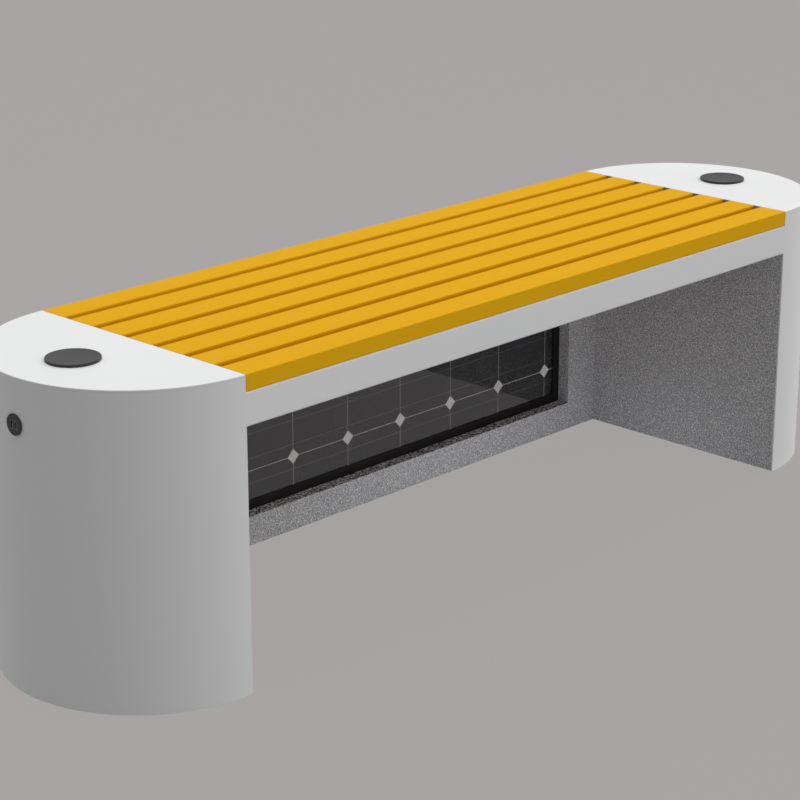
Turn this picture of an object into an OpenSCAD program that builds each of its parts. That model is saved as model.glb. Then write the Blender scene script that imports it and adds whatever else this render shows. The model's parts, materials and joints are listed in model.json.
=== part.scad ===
// Solar charging bench. Two half-round steel pedestals carry a seat of seven slats,
// and a rear wall between them holds a glass-glass solar module.
// Origin on the floor at the middle of the bench. X runs along the seat, the seat's
// front faces -Y. The left pedestal (-X) has a service door on its hidden flat face.

/* [Bench] */
// Length of the seat between the two pedestals
seat_l = 1240; // [1225:5:1300]
// Height of the seat's top above the floor
seat_h = 470; // [460:5:500]

/* [Slats] */
// Width of one slat
slat_w = 50; // [48:1:54]
// Gap between two slats
slat_gap = 15; // [13:1:18]
// Thickness of a slat
slat_t = 25; // [22:1:28]
// Wall of the hollow slat
slat_wall = 2.2; // [1.6:0.2:3]
// Rounding of the slat's long edges
slat_edge = 1.5; // [0.5:0.5:2]
// Room at each slat's end for heat to lengthen it
slat_end_gap = 0.8; // [0.4:0.2:1.6]

/* [Pedestals] */
// Thickness of the pedestals' steel sheet
sheet_t = 3; // [2.5:0.5:4]
// Thickness of the base plates
base_t = 6; // [5:1:10]
// Edge rounding of the top covers
cover_edge = 1.2; // [0.5:0.1:2]
// Depth of the lip under each top cover
cover_lip_h = 15; // [10:1:25]
// Space between the anchor holes along the seat
anchor_dx = 100; // [90:5:110]
// Space between the anchor holes across the seat
anchor_dy = 240; // [230:5:260]
// Diameter of the anchor holes
anchor_d = 14; // [12:1:18]
// Distance from a pedestal's flat face to the middle of its anchor holes
anchor_in = 80; // [75:1:90]

/* [Seat frame] */
// Height of the front apron and the rear rail
rail_h = 50; // [46:1:60]
// Depth of the front apron and the rear rail
rail_d = 30; // [28:1:40]
// Wall of the two rails
rail_wall = 2.5; // [2:0.5:4]
// Corner radius of the two rails
rail_r = 3; // [2.5:0.5:4]
// Depth of the cross bearers, top to bottom
bearer_h = 40; // [30:1:44]
// Width of the cross bearers
bearer_w = 25; // [24:1:40]
// Distance from a pedestal's flat face to the middle of the nearest cross bearer
bearer_in = 100; // [90:5:120]

/* [Rear wall] */
// Thickness of the rear wall
wall_t = 32; // [31:1:40]
// Thickness of the rear wall's sheet
wall_sheet = 2; // [1.5:0.5:2]
// Height of the window's lower edge above the floor
window_base = 50; // [45:1:55]
// Height of wall above the window
window_head = 60; // [52:1:64]
// Width of wall at each side of the window
window_side = 75; // [72:1:80]

/* [Solar module] */
// Width of the black frame that shows in the window
frame_lip = 16; // [14:1:20]
// Width of one solar cell
cell = 126; // [124:0.5:126]
// Gap between two cells
cell_gap = 1; // [1:0.5:3]
// Cut at the corner of each cell
cell_cut = 12; // [6:1:20]
// Thickness of each of the module's two panes
pane_t = 2; // [1.6:0.2:2]
// Width of the ribbons on the cells
ribbon_w = 1.6; // [1:0.2:3]

/* [Chargers] */
// Diameter of a wireless charging pad
pad_d = 78; // [76:1:90]
// Height of the pad above the seat
pad_rise = 4; // [3:0.5:6]
// Distance from a pedestal's flat face to its pad's middle
pad_in = 117; // [110:1:120]
// Diameter of the USB socket's bezel
usb_d = 31; // [30:1:36]
// Height of the seat's top above the USB socket's middle
usb_drop = 68; // [60:1:75]

/* [Service door] */
// Space between the door's hinged edge and the rear wall
door_back = 58; // [53:1:68]
// Space between the door's top and the seat's rails
door_head = 35; // [25:5:45]
// Height of the door's lower edge above the floor
door_base = 80; // [70:5:90]
// Distance from the pedestal's front edge to the door
door_in = 50; // [45:1:52]
// Thickness of the door
door_t = 3; // [2:0.5:4]
// Overlap of the door on the wall around the doorway
door_lap = 15; // [13:1:18]
// Diameter of the hinge pins
pin_d = 6; // [5:0.5:6.5]
// Outer diameter of the hinge knuckles
knuckle_d = 11; // [10.5:0.5:12]
// Height of each of the two hinges
hinge_h = 60; // [50:2:70]

/* [Power unit] */
// Length of the battery
battery_l = 181; // [150:1:185]
// Width of the battery
battery_w = 77; // [65:1:78]
// Height of the battery
battery_h = 167; // [140:1:170]
// Height of the tray's plate above the base plate
tray_h = 34; // [25:1:45]
// Width of the charge controller
control_w = 70; // [68:1:72]
// Height of the charge controller
control_h = 140; // [120:5:150]
// Depth of the charge controller
control_d = 35; // [30:1:40]
// Diameter of the power cables
cable_d = 6; // [5:0.5:6]

/* [Hidden] */
$fn = 48;
big_fn = 128;
// Overrun of every cut
over = 1;
// Space between curved faces that seat on each other
seat_clear = 0.3;
// Space between a screw and its hole
screw_clear = 0.2;

white = [0.93, 0.93, 0.92];
grey = [0.62, 0.62, 0.62];
yellow = [0.90, 0.68, 0.12];
black = [0.08, 0.08, 0.09];
steel = [0.70, 0.71, 0.73];
blue_black = [0.10, 0.11, 0.14];

// Bench
slat_n = 7;
half_seat = seat_l / 2;
depth = slat_n * slat_w + (slat_n - 1) * slat_gap;
half_depth = depth / 2;
slat_z = seat_h - slat_t;
slat_web = slat_wall;
slat_web_at = 9;
slat_corner = 1;

// Pedestals: local frames have X = 0 on the flat face and the seat on the +X side
shell_in = half_depth - sheet_t;
plate_r = shell_in - seat_clear;
shell_top = seat_h - sheet_t;
lip_t = 2.5;
tab_w = 30;
tab_t = 5;
tab_h = 40;
tab_angles = [52, 78];
tab_face = sqrt(pow(plate_r, 2) - pow(tab_w / 2, 2)) - seat_clear;
base_screw_z = 26;
base_screw_d = 6;
base_head_d = 11;
base_head_h = 3;

// Seat frame
rail_z = slat_z - rail_h;
wall_front = half_depth - wall_t;
rear_rail_y = wall_front - rail_d;
apron_back = -half_depth + rail_d;
bearer_t = 2.5;
bearer_n = 5;
bearer_x = [for (i = [0:bearer_n - 1])
    (2 * i / (bearer_n - 1) - 1) * (half_seat - bearer_in)];
screw_d = 4.8;
screw_head_d = 9.6;
screw_head_h = 3;
screw_l = 12;
access_d = 13;
edge_screw_in = 9;
cleat_l = 60;
cleat_w = 40;
cleat_t = 4;
cleat_h = 40;
cleat_z = rail_z + (rail_h - cleat_h) / 2;
bolt_d = 8;
bolt_hole_d = 8.6;
bolt_head_d = 15;
bolt_head_h = 5.3;
bolt_nut_h = 6.5;
bolt_tail = 8;
cleat_bolt_z = rail_z + rail_h / 2;
cleat_bolt_xs = [22, 44];
cleat_bolt_in = 20;

// Rear wall: a folded pan, front face at wall_front, closed by a flat cover
wall_h = slat_z;
cover_y = half_depth - wall_sheet;
pan_back = cover_y;
pan_lip = 16;
window_x = half_seat - window_side;
window_top = wall_h - window_head;
pane_back_y = cover_y;
laminate_t = 1;
glass_y = pane_back_y - laminate_t - 2 * pane_t;
frame_lip_t = 1.2;
gasket_t = 0.8;
seat_lip_w = 18;
seat_lip_y = glass_y - frame_lip_t - gasket_t - wall_sheet;
frame_over = 6;
frame_web = 1.5;
pane_clear = 0.5;
frame_x = window_x + frame_over;
frame_z0 = window_base - frame_over;
frame_z1 = window_top + frame_over;
rear_lap = 18;
cover_screw_d = 4.8;
cover_head_d = 9;
cover_screw_l = 10;
wall_bolt_zs = [60, 130];
wall_bolt_top = 35;
wall_bolt_y = half_depth - wall_t / 2;

// Cells: rows start at the view's top edge, and the outer cells are cut off past its edges
pitch = cell + cell_gap;
view_x = window_x - frame_lip;
view_z0 = window_base + frame_lip;
view_z1 = window_top - frame_lip;
cell_cols = 2 * ceil(view_x / pitch);
cell_rows = ceil((view_z1 - view_z0) / pitch);
cell_xs = [for (c = [0:cell_cols - 1]) (c - cell_cols / 2) * pitch + cell_gap / 2];
cell_zs = [for (r = [1:cell_rows]) view_z1 - r * pitch + cell_gap / 2];
wafer_t = 0.4;
wafer_under = 8;
wafer_x = view_x + wafer_under;
wafer_y = glass_y + pane_t + (laminate_t - wafer_t) / 2;
ribbon_t = 0.15;
ribbon_n = 3;
ribbon_step = cell / ribbon_n;

// Junction box in the wall's left margin, and where its cable crosses the wall
box_in = 12;
box_w = 45;
box_h = 60;
box_z = (wall_h - box_h) / 2;
box_tongue = 3;
panel_cable_in = 7;
panel_cable_y = wall_front + wall_sheet + panel_cable_in;
panel_cable_drop = 75;
panel_cable_z = wall_h - wall_bolt_top - panel_cable_drop;
grommet_hole_d = 10;
grommet_d = 13;
grommet_flange = 1.5;

// Chargers, in a frame with Z = 0 on the seat's top
pad_edge = 0.6;
pad_dish = 0.8;
pad_rim = 4;
pad_sleeve_d = 66;
pad_sleeve_wall = 2.5;
pad_sleeve_h = 30;
pad_hole_d = pad_sleeve_d + 1;
coil_d = 54;
coil_hole_d = 16;
coil_t = 5;
ferrite_d = 58;
ferrite_t = 2;
pad_base_t = 4;
gland_d = 10;
gland_h = 6;
gland_at = 14;
pad_nut_d = 82;
pad_nut_h = 8;
notch_w = 6;
notch_t = 4;
notch_n = 6;

// USB sockets, along X through the outermost point of each shell
usb_z = seat_h - usb_drop;
usb_face = 2.5;
usb_edge = 0.8;
usb_body_d = 26;
usb_body_l = 25;
usb_hole_d = usb_body_d + 2 * seat_clear;
port_w = 5.2;
port_h = 12.6;
port_depth = 13;
port_at = 4.5;
tongue_w = 2;
tongue_h = 11.2;
tongue_in = 5.5;
usb_nut_d = 34;
usb_nut_h = 5;
usb_nut_face = sqrt(pow(shell_in, 2) - pow(usb_nut_d / 2, 2)) - seat_clear;

// Service door on the left pedestal's flat face
door_y0 = door_in - half_depth;
door_y1 = wall_front - door_back;
door_w = door_y1 - door_y0;
door_z1 = rail_z - door_head;
door_h = door_z1 - door_base;
door_r = 12;
doorway_r = 8;
door_gap = 0.3;
door_gasket_t = 1.7;
door_x = door_gap + door_gasket_t;
door_face = door_x + door_t;
gasket_w = 9;
knuckle_lift = 0.7;
hinge_out = 8;
hinge_x = knuckle_d / 2 + knuckle_lift;
hinge_y = door_y1 + hinge_out;
knuckle_n = 3;
knuckle_gap = 0.5;
knuckle_h = (hinge_h - (knuckle_n - 1) * knuckle_gap) / knuckle_n;
pin_clear = 0.05;
pin_head_h = 1.5;
leaf_t = 2;
leaf_w = 22;
leaf_clear = 1;
hinge_in = 30;
hinge_zs = [door_base + hinge_in, door_z1 - hinge_in - hinge_h];
vent_w = 120;
vent_h = 4;
vent_pitch = 9;
vent_n = 4;
vent_in = 24;
lock_in = 40;
lock_y = door_y0 + lock_in;
lock_z = door_base + door_h / 2;
lock_flange_d = 26;
lock_flange_t = 2.5;
lock_sleeve_d = 18;
lock_core_d = 12;
lock_clear = 0.08;
lock_nut_d = 28;
lock_nut_t = 4.5;
lock_inset = 1;
key_d = 7;
key_depth = 4;
cam_l = 38;
cam_w = 14;
cam_t = 3;
cam_gap = 0.8;

// Power unit in the left pedestal
tray_t = 2;
tray_margin_x = 22;
tray_margin_y = 5.5;
tray_lip = 12;
battery_in = 73;
battery_r = 4;
battery_z = base_t + tray_h;
strap_w = 20;
strap_t = 2;
strap_foot = 16;
strap_clear = 0.3;
strap_screw_d = 4.8;
strap_head_d = 9;
strap_head_h = 3;
inlet_d = 12;
inlet_h = 6;
inlet_at = 60;
control_clear = 1.5;
control_y1 = wall_bolt_y - bolt_head_d / 2 - control_clear;
control_head = 95;
control_z = rail_z - control_head - control_h;
fin_depth = 8;
fin_slot = 3;
fin_pitch = 7;
fin_margin = 5;

// Cables: routes in the bench's frame. The controller's cables leave its top in one row
cable_r = cable_d / 2;
usb_cable_r = 2;
cable_sides = 10;
bend_steps = 4;
control_top = control_z + control_h;
control_exit_in = 23;
control_exit_x = -half_seat - control_exit_in;
battery_lane_in = 63;
battery_lane_y = control_y1 - battery_lane_in;
battery_rise = 45;
battery_lane_z = control_top + battery_rise;
charger_lane_in = 49;
charger_lane_y = control_y1 - charger_lane_in;
charger_drop = 10;
charger_lane_z = rail_z - charger_drop;
panel_exit_in = 5;
panel_exit_y = control_y1 - panel_exit_in;
panel_rise = 10;
box_lane_in = 32;
box_lane_x = -half_seat + box_lane_in;
battery_x = -half_seat - battery_in - battery_w / 2;
gland_x = -half_seat - pad_in + gland_at;
gland_z = seat_h - pad_sleeve_h - pad_base_t - gland_h;
rail_cable_in = 7.5;
rail_cable_y = rear_rail_y + rail_wall + rail_cable_in;
rail_cable_up = 13;
rail_cable_z = rail_z + rail_cable_up;
rail_floor_up = 6;
rail_floor_z = rail_z + rail_floor_up;
rail_entry = 20;
rail_slope = 60;
panel_route = [
    [control_exit_x, panel_exit_y, control_top],
    [control_exit_x, panel_exit_y, control_top + panel_rise],
    [control_exit_x, panel_cable_y, panel_cable_z],
    [box_lane_x, panel_cable_y, panel_cable_z],
    [box_lane_x, panel_cable_y, box_z + box_h]];
battery_route = [
    [control_exit_x, battery_lane_y, control_top],
    [control_exit_x, battery_lane_y, battery_lane_z],
    [battery_x, battery_lane_y, battery_lane_z],
    [battery_x, inlet_at, battery_lane_z],
    [battery_x, inlet_at, battery_z + battery_h + inlet_h]];
charger_route = [
    [control_exit_x, charger_lane_y, control_top],
    [control_exit_x, charger_lane_y, charger_lane_z],
    [gland_x, charger_lane_y, charger_lane_z],
    [gland_x, 0, charger_lane_z],
    [gland_x, 0, gland_z]];
seat_route = [
    [control_exit_x, rail_cable_y, control_top],
    [control_exit_x, rail_cable_y, rail_cable_z],
    [-half_seat + rail_entry, rail_cable_y, rail_cable_z],
    [-half_seat + rail_slope, rail_cable_y, rail_floor_z],
    [half_seat - rail_slope, rail_cable_y, rail_floor_z],
    [half_seat - rail_entry, rail_cable_y, rail_cable_z],
    [-gland_x, rail_cable_y, rail_cable_z],
    [-gland_x, 0, charger_lane_z],
    [-gland_x, 0, gland_z]];
usb_route = [
    [gland_x - 2 * gland_at, 0, gland_z],
    [gland_x - 2 * gland_at, 0, usb_z],
    [-half_seat - half_depth + usb_body_l, 0, usb_z]];

// A block between two corners
module block(low, high) {
    translate(low) cube(high - low);
}

// The same piece at both ends of the bench
module both_ends() {
    children();
    mirror([1, 0, 0]) children();
}

// The left pedestal's local frame
module at_left() {
    translate([-half_seat, 0, 0]) children();
}

// A flat outline in Y and Z, as a plate that starts at x
module yz_plate(x, t) {
    translate([x, 0, 0]) rotate([90, 0, 90]) linear_extrude(t) children();
}

// A flat outline in X and Z, as a plate that starts at y
module xz_plate(y, t) {
    translate([0, y + t, 0]) rotate([90, 0, 0]) linear_extrude(t) children();
}

// A rectangle with round corners, from its low corner
module round_rect(low, size, r) {
    translate(low + [r, 0]) square([size[0] - 2 * r, size[1]]);
    translate(low + [0, r]) square([size[0], size[1] - 2 * r]);
    for (x = [r, size[0] - r], y = [r, size[1] - r]) translate(low + [x, y]) circle(r = r);
}

// A slot with round ends, centred
module slot(w, h) {
    translate([-(w - h) / 2, -h / 2]) square([w - h, h]);
    for (s = [-1, 1]) translate([s * (w - h) / 2, 0]) circle(d = h);
}

// The half disc of a pedestal, flat side at X = 0
module half_disc(r, t) {
    difference() {
        cylinder(r = r, h = t, $fn = big_fn);
        block([0, -r - over, -over], [r + over, r + over, t + over]);
    }
}

// A cylinder along X from x0 to x1
module x_rod(x0, x1, d) {
    translate([x0, 0, 0]) rotate([0, 90, 0]) cylinder(d = d, h = x1 - x0);
}

// A cylinder along Y from y0 to y1
module y_rod(y0, y1, d) {
    translate([0, y1, 0]) rotate([90, 0, 0]) cylinder(d = d, h = y1 - y0);
}

// A hexagon bolt along +Z through a grip, with its nut
module bolt_and_nut(grip) {
    translate([0, 0, -bolt_head_h]) cylinder(d = bolt_head_d, h = bolt_head_h, $fn = 6);
    cylinder(d = bolt_d, h = grip + bolt_tail);
    difference() {
        translate([0, 0, grip]) cylinder(d = bolt_head_d, h = bolt_nut_h, $fn = 6);
        cylinder(d = bolt_d + screw_clear, h = grip + bolt_tail + over);
    }
}

function unit(v) = v / norm(v);

// Points of the arc that rounds the corner b between a and c
function corner(a, b, c, r) = let(
    u = unit(a - b), v = unit(c - b),
    half = acos(u * v) / 2,
    run = r / tan(half),
    middle = b + unit(u + v) * r / sin(half),
    from = b + u * run - middle, to = b + v * run - middle,
    turn = 180 - 2 * half)
    [for (i = [0:bend_steps]) let(s = i / bend_steps)
        middle + (sin((1 - s) * turn) * from + sin(s * turn) * to) / sin(turn)];

// A route with every inner corner rounded
function rounded_route(p, r) = concat([p[0]],
    [for (i = [1:len(p) - 2]) each corner(p[i - 1], p[i], p[i + 1], r)],
    [p[len(p) - 1]]);

// Direction of travel at each point of a path
function headings(p) = [for (i = [0:len(p) - 1])
    unit(p[min(i + 1, len(p) - 1)] - p[max(i - 1, 0)])];

// A side vector at each point, carried along the path without twisting
function sides(t) = let(
    start = abs(t[0][1]) < 0.9 ? [0, 1, 0] : [1, 0, 0],
    first = unit(start - (start * t[0]) * t[0]))
    [for (i = 0, s = first; i < len(t);
        i = i + 1, s = i < len(t) ? unit(s - (s * t[i]) * t[i]) : s) s];

// A round cable of radius r along a route, its corners rounded to bend_r
module cable(route, r, bend_r) {
    path = rounded_route(route, bend_r);
    ways = headings(path);
    ahead = concat([unit(path[1] - path[0])], [for (i = [1:len(ways) - 2]) ways[i]],
        [unit(path[len(path) - 1] - path[len(path) - 2])]);
    side = sides(ahead);
    n = cable_sides;
    points = [for (i = [0:len(path) - 1], k = [0:n - 1]) let(a = 360 * k / n)
        path[i] + r * (cos(a) * side[i] + sin(a) * cross(ahead[i], side[i]))];
    walls = [for (i = [0:len(path) - 2], k = [0:n - 1]) let(m = (k + 1) % n)
        each [[i * n + k, (i + 1) * n + k, (i + 1) * n + m],
            [i * n + k, (i + 1) * n + m, i * n + m]]];
    start_cap = [for (k = [0:n - 1]) k];
    end_cap = [for (k = [0:n - 1]) (len(path) - 1) * n + n - 1 - k];
    polyhedron(points, concat(walls, [start_cap], [end_cap]));
}

// Pedestals

module base_tab_screw_axis(angle) {
    rotate([0, 0, 180 - angle]) translate([0, 0, base_screw_z]) children();
}

// Curved sheet of a pedestal, with the socket's hole and the base screws' holes
module shell() {
    difference() {
        half_disc(half_depth, shell_top);
        translate([0, 0, -over]) cylinder(r = shell_in, h = shell_top + 2 * over, $fn = big_fn);
        translate([0, 0, usb_z]) x_rod(-half_depth - over, -shell_in + over, usb_hole_d);
        for (a = tab_angles) base_tab_screw_axis(a)
            x_rod(shell_in - over, half_depth + over, base_screw_d + 2 * screw_clear);
    }
}

// Flat sheet that closes a pedestal towards the seat, with the bolt and cable holes
module inner_wall() {
    difference() {
        block([-sheet_t, -plate_r, 0], [0, plate_r, shell_top]);
        for (y = [apron_back + cleat_bolt_in, rear_rail_y - cleat_bolt_in])
            translate([0, y, cleat_bolt_z]) x_rod(-sheet_t - over, over, bolt_hole_d);
        for (z = wall_bolt_heights())
            translate([0, wall_bolt_y, z]) x_rod(-sheet_t - over, over, bolt_hole_d);
        translate([0, rail_cable_y, rail_cable_z]) x_rod(-sheet_t - over, over, grommet_hole_d);
    }
}

function wall_bolt_heights() = concat(wall_bolt_zs, [wall_h - wall_bolt_top]);

// Half-round cover with a rounded rim, a lip inside the shell and the charger's hole
module top_cover() {
    difference() {
        union() {
            translate([0, 0, shell_top]) half_disc(half_depth - cover_edge, sheet_t);
            difference() {
                translate([0, 0, shell_top]) rotate_extrude($fn = big_fn)
                    translate([half_depth - 2 * cover_edge, 0])
                        round_top(2 * cover_edge, sheet_t, cover_edge);
                block([0, -depth, 0], [depth, depth, seat_h + over]);
            }
            difference() {
                translate([0, 0, shell_top - cover_lip_h]) half_disc(plate_r, cover_lip_h);
                translate([0, 0, -over])
                    cylinder(r = plate_r - lip_t, h = seat_h + over, $fn = big_fn);
                block([-sheet_t - seat_clear, -depth, 0], [over, depth, shell_top]);
            }
        }
        translate([-pad_in, 0, shell_top - over]) cylinder(d = pad_hole_d, h = sheet_t + 2 * over);
    }
}

// A strip w wide and h high whose outer top corner is rounded
module round_top(w, h, r) {
    square([w, h - r]);
    square([w - r, h]);
    translate([w - r, h - r]) circle(r = r);
}

// Base plate with its anchor holes and two tabs that the shell is screwed to
module base_plate() {
    difference() {
        union() {
            intersection() {
                half_disc(plate_r, base_t);
                block([-depth, -depth, 0], [-sheet_t, depth, base_t]);
            }
            for (a = tab_angles) rotate([0, 0, 180 - a])
                block([tab_face - tab_t, -tab_w / 2, 0], [tab_face, tab_w / 2, tab_h]);
        }
        for (x = [-1, 1], y = [-1, 1])
            translate([-anchor_in + x * anchor_dx / 2, y * anchor_dy / 2, -over])
                cylinder(d = anchor_d, h = base_t + 2 * over);
        for (a = tab_angles) base_tab_screw_axis(a)
            x_rod(tab_face - tab_t - over, tab_face + over, base_screw_d + 2 * screw_clear);
    }
}

module left_shell() {
    color(white) at_left() shell();
}

module left_inner_wall() {
    color(grey) at_left() difference() {
        inner_wall();
        yz_plate(-sheet_t - over, sheet_t + 2 * over)
            round_rect([door_y0 + door_lap, door_base + door_lap],
                [door_w - 2 * door_lap, door_h - 2 * door_lap], doorway_r);
        translate([0, panel_cable_y, panel_cable_z])
            x_rod(-sheet_t - over, over, grommet_hole_d);
    }
}

module left_top_cover() {
    color(white) at_left() top_cover();
}

module left_base_plate() {
    color(steel) at_left() base_plate();
}

module right_shell() {
    color(white) mirror([1, 0, 0]) at_left() shell();
}

module right_inner_wall() {
    color(grey) mirror([1, 0, 0]) at_left() inner_wall();
}

module right_top_cover() {
    color(white) mirror([1, 0, 0]) at_left() top_cover();
}

module right_base_plate() {
    color(steel) mirror([1, 0, 0]) at_left() base_plate();
}

// Round-headed screws through the shell into the base plate's tabs
module base_screws() {
    color(steel) both_ends() at_left() for (a = tab_angles) base_tab_screw_axis(a) {
        x_rod(tab_face - tab_t, half_depth, base_screw_d);
        x_rod(half_depth, half_depth + base_head_h, base_head_d);
    }
}

// Chargers

module at_pad() {
    at_left() translate([-pad_in, 0, seat_h]) children();
}

// Pad: a dished disc with a raised rim, on a threaded sleeve
module charger_pad() {
    color(black) difference() {
        union() {
            rotate_extrude($fn = big_fn) round_top(pad_d / 2, pad_rise, pad_edge);
            translate([0, 0, -pad_sleeve_h]) cylinder(d = pad_sleeve_d, h = pad_sleeve_h);
        }
        translate([0, 0, pad_rise - pad_dish])
            cylinder(d1 = pad_d - 2 * pad_rim, d2 = pad_d - 2 * pad_rim + 2 * pad_dish, h = pad_dish);
        translate([0, 0, -pad_sleeve_h - over])
            cylinder(d = pad_sleeve_d - 2 * pad_sleeve_wall, h = pad_sleeve_h + over);
    }
}

module left_charger_pad() {
    at_pad() charger_pad();
}

module right_charger_pad() {
    mirror([1, 0, 0]) at_pad() charger_pad();
}

// Flat copper coil on its ferrite disc, against the underside of each pad
module charger_coils() {
    color([0.72, 0.45, 0.25]) both_ends() at_pad() difference() {
        union() {
            translate([0, 0, -coil_t]) cylinder(d = coil_d, h = coil_t);
            translate([0, 0, -coil_t - ferrite_t]) cylinder(d = ferrite_d, h = ferrite_t);
        }
        translate([0, 0, -coil_t]) cylinder(d = coil_hole_d, h = coil_t + over);
    }
}

// Lower cap of each charger, with a gland for the supply and one for the socket
module charger_bases() {
    color(black) both_ends() at_pad() {
        translate([0, 0, -pad_sleeve_h - pad_base_t]) cylinder(d = pad_sleeve_d, h = pad_base_t);
        for (x = [-gland_at, gland_at])
            translate([x, 0, -pad_sleeve_h - pad_base_t - gland_h])
                cylinder(d = gland_d, h = gland_h);
    }
}

// Ring nut that clamps each pad to its cover, notched for a hook spanner
module charger_nuts() {
    color(black) both_ends() at_pad() translate([0, 0, -sheet_t - pad_nut_h]) difference() {
        cylinder(d = pad_nut_d, h = pad_nut_h);
        translate([0, 0, -over])
            cylinder(d = pad_sleeve_d + 2 * seat_clear, h = pad_nut_h + 2 * over);
        for (i = [0:notch_n - 1]) rotate([0, 0, i * 360 / notch_n])
            block([pad_nut_d / 2 - notch_t, -notch_w / 2, -over],
                [pad_nut_d, notch_w / 2, pad_nut_h + over]);
    }
}

// USB sockets

module at_usb() {
    at_left() translate([-half_depth, 0, usb_z]) children();
}

// Socket with two upright ports, each with its contact tongue; X = 0 on the shell
module usb_socket() {
    color(black) {
        difference() {
            union() {
                rotate([0, -90, 0]) rotate_extrude()
                    round_top(usb_d / 2, usb_face, usb_edge);
                x_rod(0, usb_body_l, usb_body_d);
            }
            for (s = [-1, 1])
                block([-usb_face - over, s * port_at - port_w / 2, -port_h / 2],
                    [port_depth - usb_face, s * port_at + port_w / 2, port_h / 2]);
        }
        for (s = [-1, 1])
            block([tongue_in - usb_face, s * port_at - tongue_w / 2, -tongue_h / 2],
                [port_depth - usb_face, s * port_at + tongue_w / 2, tongue_h / 2]);
    }
}

module left_usb_socket() {
    at_usb() usb_socket();
}

module right_usb_socket() {
    mirror([1, 0, 0]) at_usb() usb_socket();
}

// Ring nuts behind the shells
module usb_nuts() {
    color(black) both_ends() at_left() translate([0, 0, usb_z]) difference() {
        x_rod(-usb_nut_face, -usb_nut_face + usb_nut_h, usb_nut_d);
        x_rod(-usb_nut_face - over, -usb_nut_face + usb_nut_h + over, usb_hole_d);
    }
}

module usb_cables() {
    color(black) both_ends() cable(usb_route, usb_cable_r, 5 * usb_cable_r);
}

// Seat

// Hollow slat: a rounded box section with two webs, so its screws meet no web
module slat(i) {
    y0 = (i - 1) * (slat_w + slat_gap) - half_depth;
    span = half_seat - slat_end_gap;
    room = slat_w / 2 - slat_wall - slat_web_at - slat_web / 2;
    middle = slat_w / 2;
    color(yellow) difference() {
        yz_plate(-span, 2 * span) difference() {
            round_rect([y0, slat_z], [slat_w, slat_t], slat_edge);
            for (cell_y = [
                [slat_wall, room],
                [middle - slat_web_at + slat_web / 2, 2 * slat_web_at - slat_web],
                [middle + slat_web_at + slat_web / 2, room]])
                round_rect([y0 + cell_y[0], slat_z + slat_wall],
                    [cell_y[1], slat_t - 2 * slat_wall], slat_corner);
        }
        for (x = bearer_x) translate([x, slat_screw_y(i), slat_z - over])
            cylinder(d = screw_d + screw_clear, h = slat_wall + 2 * over);
    }
}

// The outer slats are screwed through the rails, the others through the bearers
function slat_screw_y(i) =
    i == 1 ? edge_screw_in - half_depth
    : i == slat_n ? wall_front - edge_screw_in
    : (i - 1) * (slat_w + slat_gap) - half_depth + slat_w / 2;

module slat_1() {
    slat(1);
}

module slat_2() {
    slat(2);
}

module slat_3() {
    slat(3);
}

module slat_4() {
    slat(4);
}

module slat_5() {
    slat(5);
}

module slat_6() {
    slat(6);
}

module slat_7() {
    slat(7);
}

// Box section along the seat, with the slat screws' holes and the cleats' holes
module rail(y0, screw_y, cleat_side) {
    back = cleat_side > 0 ? y0 + rail_d - rail_wall : y0;
    color(white) difference() {
        yz_plate(-half_seat, seat_l) difference() {
            round_rect([y0, rail_z], [rail_d, rail_h], rail_r);
            round_rect([y0 + rail_wall, rail_z + rail_wall],
                [rail_d - 2 * rail_wall, rail_h - 2 * rail_wall], rail_r / 2);
        }
        for (x = bearer_x) {
            translate([x, screw_y, slat_z - rail_wall - over])
                cylinder(d = screw_d + 2 * screw_clear, h = rail_wall + 2 * over);
            translate([x, screw_y, rail_z - over])
                cylinder(d = access_d, h = rail_wall + 2 * over);
        }
        for (s = [-1, 1], x = cleat_bolt_xs)
            translate([s * (half_seat - x), 0, cleat_bolt_z])
                y_rod(back - over, back + rail_wall + over, bolt_hole_d);
    }
}

module front_apron() {
    rail(-half_depth, slat_screw_y(1), 1);
}

module rear_rail() {
    rail(rear_rail_y, slat_screw_y(slat_n), -1);
}

// Channels across the seat, between the two rails
module seat_bearers() {
    color(white) for (x = bearer_x) difference() {
        block([x - bearer_w / 2, apron_back, slat_z - bearer_h],
            [x + bearer_w / 2, rear_rail_y, slat_z]);
        block([x - bearer_w / 2 + bearer_t, apron_back - over, slat_z - bearer_h + bearer_t],
            [x + bearer_w, rear_rail_y + over, slat_z - bearer_t]);
        for (i = [2:slat_n - 1])
            translate([x, slat_screw_y(i), slat_z - bearer_t - over])
                cylinder(d = screw_d + 2 * screw_clear, h = bearer_t + 2 * over);
    }
}

// The four corners of the seat frame: x and y of the corner, and the way its leg runs
cleat_places = [for (s = [-1, 1]) each [
    [s, apron_back, 1], [s, rear_rail_y, -1]]];

// Angle cleats that bolt each rail's end to its pedestal, hidden inside the seat
module rail_cleats() {
    color(steel) for (p = cleat_places)
        translate([p[0] * half_seat, p[1], cleat_z]) mirror([p[0] > 0 ? 1 : 0, 0, 0])
            mirror([0, p[2] > 0 ? 0 : 1, 0]) difference() {
                union() {
                    block([0, 0, 0], [cleat_t, cleat_w, cleat_h]);
                    block([0, 0, 0], [cleat_l, cleat_t, cleat_h]);
                }
                translate([0, cleat_bolt_in, cleat_bolt_z - cleat_z])
                    x_rod(-over, cleat_t + over, bolt_hole_d);
                for (x = cleat_bolt_xs) translate([x, 0, cleat_bolt_z - cleat_z])
                    y_rod(-over, cleat_t + over, bolt_hole_d);
            }
}

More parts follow.
